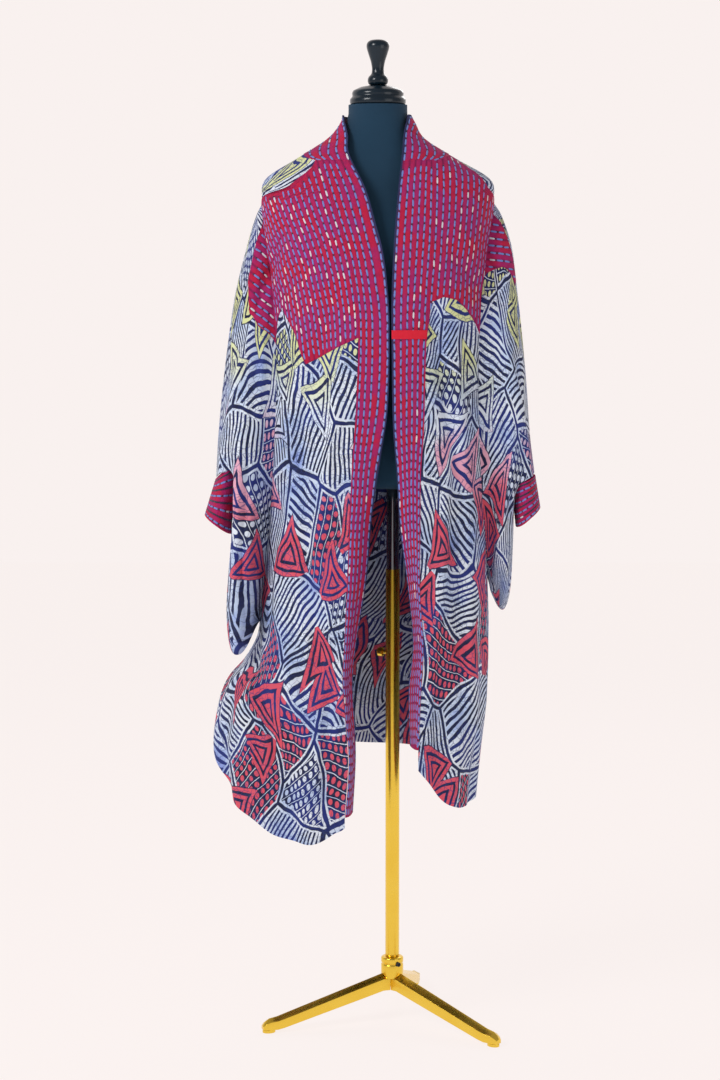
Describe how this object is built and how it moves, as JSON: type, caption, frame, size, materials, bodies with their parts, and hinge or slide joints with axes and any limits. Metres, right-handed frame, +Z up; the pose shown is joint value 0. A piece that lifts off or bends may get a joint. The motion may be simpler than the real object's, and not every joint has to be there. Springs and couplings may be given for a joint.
{
  "type": "kimono robe on a limbless dress form with a telescoping tripod stand",
  "caption": "Open batik kimono robe with quilted yokes, bands and cuffs, hanging on a limbless dress form on a telescoping tripod stand.",
  "frame": {"origin": "bottom centre of the object's box, on the floor under the stand", "axes": "+Z up, front towards -Y, +X to the viewer's right, which is the wearer's left"},
  "size_m": [0.5896, 0.4058, 1.742],
  "materials": {
    "batik": "soft plain-weave cotton with wax-resist pattern and crackle",
    "quilt": "layered cotton with rows of running stitch",
    "patch": "plain cotton bar",
    "form_jersey": "stretched dark jersey",
    "form_gloss": "polished lacquer",
    "chrome_tube": "bright plated tube",
    "gold": "polished gold-coloured plating",
    "foot_rubber": "black"
  },
  "bodies": {
    "stand": {"lower_pole": "gold", "clamp_screw": "gold", "hub": "gold", "hub_screw": "foot_rubber", "leg_right": "gold", "leg_rear": "gold", "leg_left": "gold", "foot_right": "gold", "foot_rear": "gold", "foot_left": "gold"},
    "form": {"back_panel": "batik", "right_front": "batik", "left_front": "batik", "right_sleeve": "batik", "left_sleeve": "batik", "right_yoke": "quilt", "left_yoke": "quilt", "right_sleeve_cap": "quilt", "left_sleeve_cap": "quilt", "right_cuff": "quilt", "left_cuff": "quilt", "right_band": "quilt", "left_band": "quilt", "neck_band": "quilt", "band_patch": "patch", "torso": "form_jersey", "neck_cap": "form_gloss", "finial": "form_gloss", "upper_pole": "chrome_tube"}
  },
  "joints": [
    {"name": "height_slide", "type": "slide", "parent": "stand", "child": "form", "axis": [0, 0, 1], "range_m": [-0.1, 0.2]}
  ]
}
